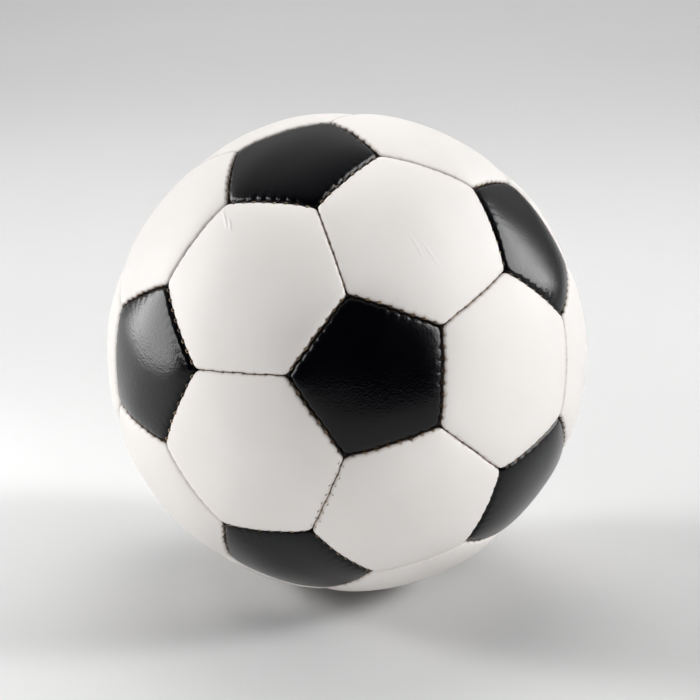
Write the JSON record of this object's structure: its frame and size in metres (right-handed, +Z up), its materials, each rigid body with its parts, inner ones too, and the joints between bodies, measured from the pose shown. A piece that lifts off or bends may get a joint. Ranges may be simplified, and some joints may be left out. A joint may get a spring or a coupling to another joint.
{
  "type": "soccer ball",
  "caption": "Round hand-stitched ball of black pentagon and white hexagon panels over a lined rubber bladder, with a needle valve.",
  "frame": {"origin": "centre of the ball", "axes": "+Z up as the ball lies in the picture, -X out through the middle of the valve, +Y away from the viewer"},
  "size_m": [0.2199, 0.22, 0.22],
  "materials": {
    "black_panel": "glossy",
    "white_panel": "satin",
    "lining": "matt",
    "thread": "waxed",
    "bladder": "matt",
    "valve_rubber": "satin",
    "core_rubber": "satin"
  },
  "bodies": {
    "ball": {"pentagon_01": "black_panel", "pentagon_02": "black_panel", "pentagon_03": "black_panel", "pentagon_04": "black_panel", "pentagon_05": "black_panel", "pentagon_06": "black_panel", "pentagon_07": "black_panel", "pentagon_08": "black_panel", "pentagon_09": "black_panel", "pentagon_10": "black_panel", "pentagon_11": "black_panel", "pentagon_12": "black_panel", "valve_panel": "white_panel", "hexagon_01": "white_panel", "hexagon_02": "white_panel", "hexagon_03": "white_panel", "hexagon_04": "white_panel", "hexagon_05": "white_panel", "hexagon_06": "white_panel", "hexagon_07": "white_panel", "hexagon_08": "white_panel", "hexagon_09": "white_panel", "hexagon_10": "white_panel", "hexagon_11": "white_panel", "hexagon_12": "white_panel", "hexagon_13": "white_panel", "hexagon_14": "white_panel", "hexagon_15": "white_panel", "hexagon_16": "white_panel", "hexagon_17": "white_panel", "hexagon_18": "white_panel", "hexagon_19": "white_panel", "pentagon_linings": "lining", "hexagon_linings": "lining", "valve_panel_lining": "lining", "black_white_thread": "thread", "white_white_thread": "thread", "bladder": "bladder", "valve_body": "valve_rubber", "valve_patch": "lining"},
    "valve_core": {"valve_core": "core_rubber"}
  },
  "joints": [
    {"name": "valve_core_pull", "type": "slide", "parent": "ball", "child": "valve_core", "axis": [-1, 0, 0], "range_m": [0, 0.014]}
  ]
}
